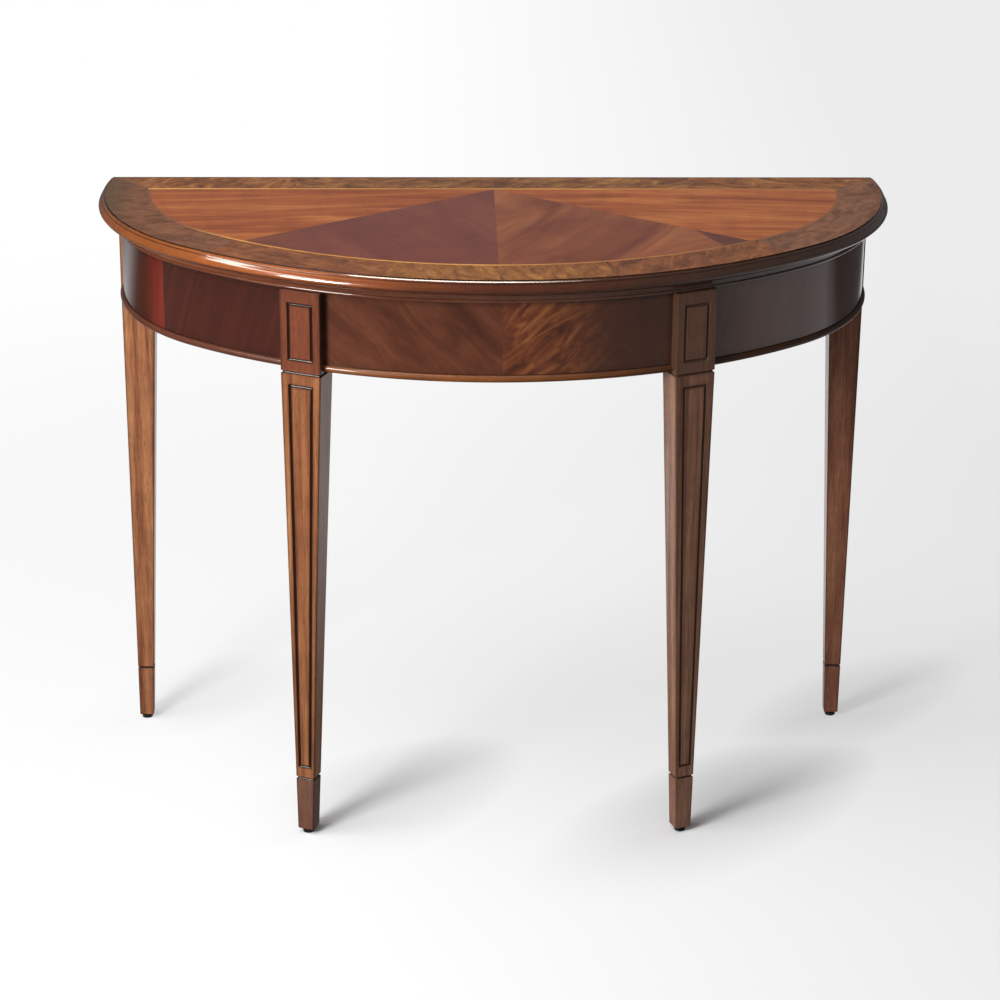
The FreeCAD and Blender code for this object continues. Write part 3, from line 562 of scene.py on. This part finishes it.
# Apron leaves: dark veneer, smooth enough to mirror the paper; the centre pair is strongly figured
apronLeaf = {**mahogany, "coords": "UV", "glazeAndShade": "#140806", "rough": 0.22, "coat": 0.5, "shine": 0.35,
             "figure": (0.020, 0.070, 3, 0.6, 0.8), "figureShare": 0.10, "fibreShare": 0.16,
             "poreShare": 0.15, "relief": 0.02, "uneven": 0.01}
leftLeaf = {"fibreShare": 0.08, "figureShare": 0.06, "poreShare": 0.06}
rightLeaf = {"fibreShare": 0.04, "figureShare": 0.05, "poreShare": 0.05, "relief": 0.0}
seamAt = float(alongPlan(-sideSeam))
apronLooks = {
    "left_a": {**leftLeaf, "tones": ("#621F15", "#6C261B", "#762E20"), "turn": (0, 0, 80),
               "fades": ((0, seamAt - 0.004, seamAt - 0.060, "#44231A"),)},
    "left_b": {**leftLeaf, "tones": ("#3A1912", "#401C14", "#461F16"), "turn": (0, 0, 70)},
    "centre_a": {"tones": ("#4A2619", "#5C311F", "#6C3D29"), "turn": (0, 0, -40), "place": (0.1, 0.3, 0),
                 "bands": (0.100, 0.030, 4, 0.6, 1.0)},
    "centre_b": {"tones": ("#48241A", "#6E3A22", "#965C32"), "turn": (0, 0, 42), "place": (0.4, 0.2, 0),
                 "bands": (0.075, 0.024, 4, 0.6, 2.2), "figureShare": 0.18, "fibreShare": 0.26,
                 "fades": ((0, 0.05, 0.17, "#4A2C20"),)},
    "right_a": {**rightLeaf, "tones": ("#59392D", "#5C3B2F", "#603F33"), "turn": (0, 0, 75)},
    "right_b": {**rightLeaf, "tones": ("#4D2F27", "#50322A", "#54352E"), "turn": (0, 0, 80)},
}
# Legs: straight grain up the leg, dark glaze in the grooves and along the arrises, block and foot toned
# apart;
# the blocks' darker tone is partly their own and partly painted shade under the top, and the right legs are
# given darker tones than the left ones as painted shade, the front right one with a paler glaze as well
legWood = {**mahogany, "turn": (0, 90, 0), "glazeAndShade": "#2A150C", "bands": (0.40, 0.010, 3, 0.55, 0.3),
           "fibreShare": 0.55, "coat": 0.3, "coatRough": 0.2}
legLooks = {
    "front_leg_left": {"tones": ("#6E3F29", "#8F5A39", "#A37048"),
                       "fades": ((2, 0.660, 0.674, "#743E29"), (2, 0.088, 0.080, "#704C3D"))},
    # darker tones than the front left leg: painted shade on the side away from the light
    "front_leg_right": {"tones": ("#664131", "#855C47", "#997258"), "glazeAndShade": "#4C3529",
                        "fades": ((2, 0.660, 0.674, "#684737"), (2, 0.088, 0.080, "#8C6350"))},
    "back_leg_left": {"tones": ("#7A472F", "#9D6543", "#B17A54")},
    # darker tones than the back left leg: painted shade on the side away from the light
    "back_leg_right": {"tones": ("#6F4231", "#8E5A43", "#A16E52")},
}

for side, hand in (("left", -1), ("right", 1)):
    wear(nodes["field_leaf_rear_" + side], wood("mahoganyVeneer_rear_" + side, {
        **rearLeaf, "tones": rearTones[side], "turn": (0, 0, hand * rearGrain["turn"]),
        "place": (hand * rearGrain["shift"][0], rearGrain["shift"][1], 0)}))
    for order, part in enumerate(burrTones):
        tones = rightEnd if (part, side) == ("end", "right") else burrTones[part]
        fades = backShade + leftShade if side == "left" else backShade
        wear(nodes[f"border_{part}_{side}"], wood(f"burrVeneer_{part}_{side}", {
            **burr, "tones": tones, "fades": fades,
            "place": (order * burrGrain["shift"][0], hand * burrGrain["shift"][1], 0),
            "turn": (0, 0, hand * order * burrGrain["turn"] + burrGrain["firstTurn"])}))
    wear(nodes["field_leaf_main_" + side],
         wood("mahoganyVeneer_main_" + side, {**mainLeaf, **mainLooks[side]}))
    wear(nodes["field_leaf_wedge_" + side],
         wood("mahoganyVeneer_wedge_" + side, {**mainLeaf, "tones": wedgeTones[side]}))
for name, fades in stringFades.items():
    wear(nodes[name], wood("satinwood_" + name, {**satinwood, "fades": fades}))
for run in ("left", "front", "right"):
    wear(shown["edge_moulding_" + run], wood("mahogany_nosing_" + run, nosingLook))
    wear(shown["bed_moulding_" + run], wood("mahogany_bed_" + run, bedLook))
for run in ("left", "centre", "right"):
    wear(shown["apron_bead_" + run], wood("mahogany_bead_" + run, beadLook))
for key, look in apronLooks.items():
    wear(shown["apron_veneer_" + key], wood("mahoganyVeneer_apron_" + key, {**apronLeaf, **look}))
for name, look in legLooks.items():
    wear(shown[name], wood("mahogany_" + name, {**legWood, **look}))
for name in ("top_core", "back_lipping", "back_rail", "top_fixing_blocks", "rail_dowels",
             "apron_rail_left", "apron_rail_centre", "apron_rail_right"):
    wear(nodes[name], wood("poplar_" + name, poplar))


# Fittings: plated steel and turned brass glint softly, moulded nylon is black and almost matt; the grain
# is drawn coarser than the real one so that it shows
fittings = {
    "zincPlatedSteel": {"tones": ("#8E9092", "#B8BABC"), "metal": 1.0, "rough": 0.35, "grain": 0.0015},
    "turnedBrass": {"tones": ("#A8803C", "#C8A054"), "metal": 1.0, "rough": 0.32, "grain": 0.0015},
    "blackMouldedNylon": {"tones": ("#0C0C0C", "#1A1A1A"), "metal": 0.0, "rough": 0.5, "grain": 0.001},
    "uneven": 0.08,
}


def fitting(name):
    # One colour, its gloss broken by a fine grain
    look = fittings[name]
    material = bpy.data.materials.new(name)
    material.use_nodes = True
    tree = material.node_tree
    tree.nodes.clear()
    source = add(tree, "ShaderNodeTexCoord").outputs["Object"]
    grain = add(tree, "ShaderNodeTexNoise", {"Vector": source, "Scale": 1 / look["grain"],
                                             "Detail": 2.0}).outputs[0]
    stops = [(at, tone(code)) for at, code in zip(noiseSpan, look["tones"])]
    shade = add(tree, "ShaderNodeValToRGB", {0: grain}, stops).outputs[0]
    polish = add(tree, "ShaderNodeMapRange", {0: grain, 3: look["rough"] - fittings["uneven"],
                                              4: look["rough"] + fittings["uneven"]}).outputs[0]
    shader = add(tree, "ShaderNodeBsdfPrincipled", {"Base Color": shade, "Metallic": look["metal"],
                                                    "Roughness": polish})
    add(tree, "ShaderNodeOutputMaterial", {"Surface": shader.outputs[0]})
    return material


steel = fitting("zincPlatedSteel")
brass = fitting("turnedBrass")
nylon = fitting("blackMouldedNylon")
for name, node in nodes.items():
    if name.startswith("leveller_pad"):
        wear(node, nylon)
    elif name.startswith("leveller_stem") or name == "top_fixing_screws":
        wear(node, steel)
    elif name == "leveller_inserts":
        wear(node, brass)
print("materials on")

# White seamless studio paper. Near the table, and most of all in an oval by each foot, it takes light and
# shadow; further off cameras see plain white, a little darker to the right. Seen in the polish it glows in
# three pale patches, a painted reflection: one to the right, one behind, and one far behind on the left.
# From below the paper is open
studio = {
    "half": 9.0, "paper": "#DEDEDE", "bounce": "#9A9A9A", "near": 0.55, "far": 2.6, "nearShare": 0.72,
    "footShare": {"front": 0.0, "back": 0.5}, "footLag": 0.05, "footTurn": math.radians(43),
    "footSpan": (0.50, 0.22, 1.0), "footCore": 0.05,
    "leftWhite": 1.0, "rightWhite": 0.84, "fadeFrom": -0.2, "fadeTo": 0.9, "whiteFrom": 5.2, "whiteTo": 8.5,
    "mirrorLeft": 0.16, "mirrorRight": 0.7, "slant": 0.8, "slantFrom": 0.2, "slantTo": 2.0,
    "frontEnd": (0.45, 0.9), "frontRest": 0.1,
    "mirrorBack": 1.0, "backShift": 0.18, "backEnd": (0.9, 1.3), "backStart": (0.0, 0.6),
    "mirrorFar": 0.6, "farStart": (1.45, 1.9), "farEnd": (2.0, 2.5), "farRest": 0.15, "farSide": (-0.3, 0.3),
}
half = studio["half"]
mesh = bpy.data.meshes.new("studioFloor")
mesh.from_pydata([(-half, -half, 0), (half, -half, 0), (half, half, 0), (-half, half, 0)], [],
                 [(0, 1, 2, 3)])
floor = bpy.data.objects.new("studioFloor", mesh)
bpy.context.scene.collection.objects.link(floor)
paper = bpy.data.materials.new("seamlessPaper")
paper.use_nodes = True
tree = paper.node_tree
tree.nodes.clear()
ground = add(tree, "ShaderNodeTexCoord").outputs["Object"]
parted = add(tree, "ShaderNodeSeparateXYZ", {0: ground})
rightward, backward = parted.outputs[0], parted.outputs[1]
away = add(tree, "ShaderNodeVectorMath", {0: ground}, operation="LENGTH").outputs["Value"]

# What cameras see
clear = add(tree, "ShaderNodeMapRange", {0: away, 1: studio["near"], 2: studio["far"],
                                         3: studio["nearShare"], 4: 1.0},
            interpolation_type="SMOOTHSTEP").outputs[0]
for corner in ("front_left", "front_right", "back_left", "back_right"):
    (x0, y0, z0), (x1, y1, z1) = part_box("leveller_pad_" + corner)
    shaded = ((x0 + x1) / 2 + studio["footLag"] * math.cos(studio["footTurn"]),
              (y0 + y1) / 2 + studio["footLag"] * math.sin(studio["footTurn"]), 0)
    oval = add(tree, "ShaderNodeMapping", {"Vector": ground, "Location": shaded, "Scale": studio["footSpan"],
                                           "Rotation": (0, 0, studio["footTurn"])},
               vector_type="TEXTURE").outputs[0]
    apart = add(tree, "ShaderNodeVectorMath", {0: oval}, operation="LENGTH").outputs["Value"]
    share = studio["footShare"][corner.split("_")[0]]
    foot = add(tree, "ShaderNodeMapRange", {0: apart, 1: studio["footCore"], 2: 1.0, 3: share, 4: 1.0},
               interpolation_type="SMOOTHSTEP").outputs[0]
    clear = add(tree, "ShaderNodeMath", {0: clear, 1: foot}, operation="MINIMUM").outputs[0]
white = add(tree, "ShaderNodeMapRange", {0: rightward, 1: studio["fadeFrom"], 2: studio["fadeTo"],
                                         3: studio["leftWhite"], 4: studio["rightWhite"]}).outputs[0]
white = add(tree, "ShaderNodeMapRange", {0: away, 1: studio["whiteFrom"], 2: studio["whiteTo"], 3: white,
                                         4: 1.0}).outputs[0]
matt = add(tree, "ShaderNodeBsdfDiffuse", {"Color": tone(studio["paper"])})
glow = add(tree, "ShaderNodeEmission", {"Color": grey(1.0), "Strength": white})
grounded = add(tree, "ShaderNodeMixShader", {0: clear, 1: matt.outputs[0], 2: glow.outputs[0]})

# What the polish mirrors
slant = add(tree, "ShaderNodeMath", {0: backward, 1: studio["slant"], 2: rightward},
            operation="MULTIPLY_ADD").outputs[0]
patch = add(tree, "ShaderNodeMapRange", {0: slant, 1: studio["slantFrom"], 2: studio["slantTo"],
                                         3: studio["mirrorLeft"], 4: studio["mirrorRight"]}).outputs[0]
ended = add(tree, "ShaderNodeMapRange", {0: backward, 1: studio["frontEnd"][0], 2: studio["frontEnd"][1],
                                         3: 1.0, 4: studio["frontRest"]}).outputs[0]
patch = add(tree, "ShaderNodeMath", {0: patch, 1: ended}, operation="MULTIPLY").outputs[0]
shifted = add(tree, "ShaderNodeMath", {0: rightward, 1: studio["backShift"]}, operation="SUBTRACT").outputs[0]
width = add(tree, "ShaderNodeMath", {0: shifted}, operation="ABSOLUTE").outputs[0]
behind = add(tree, "ShaderNodeMapRange", {0: width, 1: studio["backEnd"][0], 2: studio["backEnd"][1],
                                          3: studio["mirrorBack"], 4: 0.0}).outputs[0]
begun = add(tree, "ShaderNodeMapRange", {0: backward, 1: studio["backStart"][0],
                                         2: studio["backStart"][1]}).outputs[0]
behind = add(tree, "ShaderNodeMath", {0: behind, 1: begun}, operation="MULTIPLY").outputs[0]
beyond = add(tree, "ShaderNodeMapRange", {0: backward, 1: studio["farStart"][0], 2: studio["farStart"][1],
                                          3: 0.0, 4: studio["mirrorFar"]}).outputs[0]
ended = add(tree, "ShaderNodeMapRange", {0: backward, 1: studio["farEnd"][0], 2: studio["farEnd"][1],
                                         3: 1.0, 4: studio["farRest"]}).outputs[0]
beyond = add(tree, "ShaderNodeMath", {0: beyond, 1: ended}, operation="MULTIPLY").outputs[0]
leftward = add(tree, "ShaderNodeMapRange", {0: rightward, 1: studio["farSide"][0], 2: studio["farSide"][1],
                                            3: 1.0, 4: 0.0}).outputs[0]
beyond = add(tree, "ShaderNodeMath", {0: beyond, 1: leftward}, operation="MULTIPLY").outputs[0]
mirrored = add(tree, "ShaderNodeMath", {0: patch, 1: behind}, operation="MAXIMUM").outputs[0]
mirrored = add(tree, "ShaderNodeMath", {0: mirrored, 1: beyond}, operation="MAXIMUM").outputs[0]
mirror = add(tree, "ShaderNodeEmission", {"Color": grey(1.0), "Strength": mirrored})
dull = add(tree, "ShaderNodeBsdfDiffuse", {"Color": tone(studio["bounce"])})
rays = add(tree, "ShaderNodeLightPath").outputs
unseen = add(tree, "ShaderNodeMixShader", {0: rays["Is Glossy Ray"], 1: dull.outputs[0],
                                           2: mirror.outputs[0]})
mixed = add(tree, "ShaderNodeMixShader", {0: rays["Is Camera Ray"], 1: unseen.outputs[0],
                                          2: grounded.outputs[0]})
below = add(tree, "ShaderNodeNewGeometry").outputs["Backfacing"]
through = add(tree, "ShaderNodeBsdfTransparent").outputs[0]
sheet = add(tree, "ShaderNodeMixShader", {0: below, 1: mixed.outputs[0], 2: through})
add(tree, "ShaderNodeOutputMaterial", {"Surface": sheet.outputs[0]})
mesh.materials.append(paper)

# Room: dim, with a pale screen to the right and pale paper low down in the middle behind; cameras see white
room = {"dim": 0.10, "screen": 0.2, "screenSide": (0.45, 0.95), "paper": 0.85, "paperBack": (0.1, 0.7),
        "paperTop": (0.05, 0.32), "paperSide": (0.16, 0.26)}
scene = bpy.context.scene
world = bpy.data.worlds.new("studio")
scene.world = world
world.use_nodes = True
tree = world.node_tree
tree.nodes.clear()
aim = add(tree, "ShaderNodeSeparateXYZ", {0: add(tree, "ShaderNodeTexCoord").outputs["Generated"]}).outputs
screen = add(tree, "ShaderNodeMapRange", {0: aim[0], 1: room["screenSide"][0], 2: room["screenSide"][1],
                                          3: room["dim"], 4: room["screen"]}).outputs[0]
behind = add(tree, "ShaderNodeMapRange", {0: aim[1], 1: room["paperBack"][0], 2: room["paperBack"][1],
                                          3: 0.0, 4: room["paper"]}).outputs[0]
lowDown = add(tree, "ShaderNodeMapRange", {0: aim[2], 1: room["paperTop"][0], 2: room["paperTop"][1],
                                           3: 1.0, 4: 0.0}).outputs[0]
sideways = add(tree, "ShaderNodeMath", {0: aim[0]}, operation="ABSOLUTE").outputs[0]
central = add(tree, "ShaderNodeMapRange", {0: sideways, 1: room["paperSide"][0], 2: room["paperSide"][1],
                                           3: 1.0, 4: 0.0}).outputs[0]
behind = add(tree, "ShaderNodeMath", {0: behind, 1: central}, operation="MULTIPLY").outputs[0]
behind = add(tree, "ShaderNodeMath", {0: behind, 1: lowDown}, operation="MULTIPLY").outputs[0]
level = add(tree, "ShaderNodeMath", {0: screen, 1: behind}, operation="ADD").outputs[0]
seen = add(tree, "ShaderNodeLightPath").outputs["Is Camera Ray"]
level = add(tree, "ShaderNodeMix", {0: seen, 2: level, 3: 1.0}).outputs[0]
sky = add(tree, "ShaderNodeBackground", {"Color": grey(1.0), "Strength": level})
add(tree, "ShaderNodeOutputWorld", {"Surface": sky.outputs[0]})

# A softbox at the left, a wide one high over the front left, a strip and a panel that show only in the
# polish, and a weak fill behind on the right. Body and polish say whether a lamp lights the wood itself and
# whether it is mirrored in the lacquer
lamps = {
    "softbox": {"place": (-1.45, -1.50, 1.30), "aim": (0.0, 0.0, 0.45), "size": 0.6, "power": 44},
    "overhead": {"place": (-1.8, -1.1, 4.5), "aim": (0.0, 0.0, 0.5), "size": 3.2, "power": 200,
                 "polish": False},
    "strip": {"place": (-0.3, -1.55, 4.5), "aim": (0.0, -0.2, 0.8), "size": 3.0, "tall": 0.34, "power": 85,
              "tint": "#FFF9EE", "body": False},
    "panel": {"place": (-1.75, -1.02, 1.83), "aim": (-0.27, -0.16, 0.8), "size": 1.2, "tall": 0.08,
              "power": 6.5, "tint": "#FFF9EE", "body": False},
    "fill": {"place": (2.2, 1.1, 1.2), "aim": (0.1, 0.1, 0.4), "size": 1.5, "power": 10, "polish": False},
}
for name, lamp in lamps.items():
    data = bpy.data.lights.new(name, "AREA")
    data.shape = "RECTANGLE"
    data.size = lamp["size"]
    data.size_y = lamp.get("tall", lamp["size"])
    data.energy = lamp["power"]
    data.color = tone(lamp.get("tint", "#FFFFFF"))[:3]
    light = bpy.data.objects.new(name, data)
    light.visible_diffuse = lamp.get("body", True)
    light.visible_glossy = lamp.get("polish", True)
    place = np.array(lamp["place"])
    ahead = np.array(lamp["aim"]) - place
    ahead = ahead / np.linalg.norm(ahead)
    sideways = np.cross(ahead, (0, 0, 1))
    sideways = sideways / np.linalg.norm(sideways)
    basis = np.stack([sideways, np.cross(sideways, ahead), -ahead], axis=1)
    light.matrix_world = Matrix(np.vstack([np.column_stack([basis, place]), (0, 0, 0, 1)]).tolist())
    scene.collection.objects.link(light)

# Camera fitted to the photo
view = {"place": (-0.09325, -3.97915, 2.09968), "yaw": 1.450, "pitch": 22.803, "roll": 0.463, "lens": 114.78}
yaw, pitch, roll = (math.radians(view[key]) for key in ("yaw", "pitch", "roll"))
across = np.array([math.cos(yaw), -math.sin(yaw), 0])
ahead = np.array([math.sin(yaw) * math.cos(pitch), math.cos(yaw) * math.cos(pitch), -math.sin(pitch)])
upward = np.cross(across, ahead)
basis = np.stack([across * math.cos(roll) + upward * math.sin(roll),
                  upward * math.cos(roll) - across * math.sin(roll), -ahead], axis=1)
lens = bpy.data.cameras.new("camera")
lens.lens = view["lens"]
lens.sensor_width = 36
camera = bpy.data.objects.new("camera", lens)
scene.collection.objects.link(camera)
camera.matrix_world = Matrix(np.vstack([np.column_stack([basis, view["place"]]), (0, 0, 0, 1)]).tolist())
scene.camera = camera
scene.view_settings.view_transform = "Standard"
print("stage set")
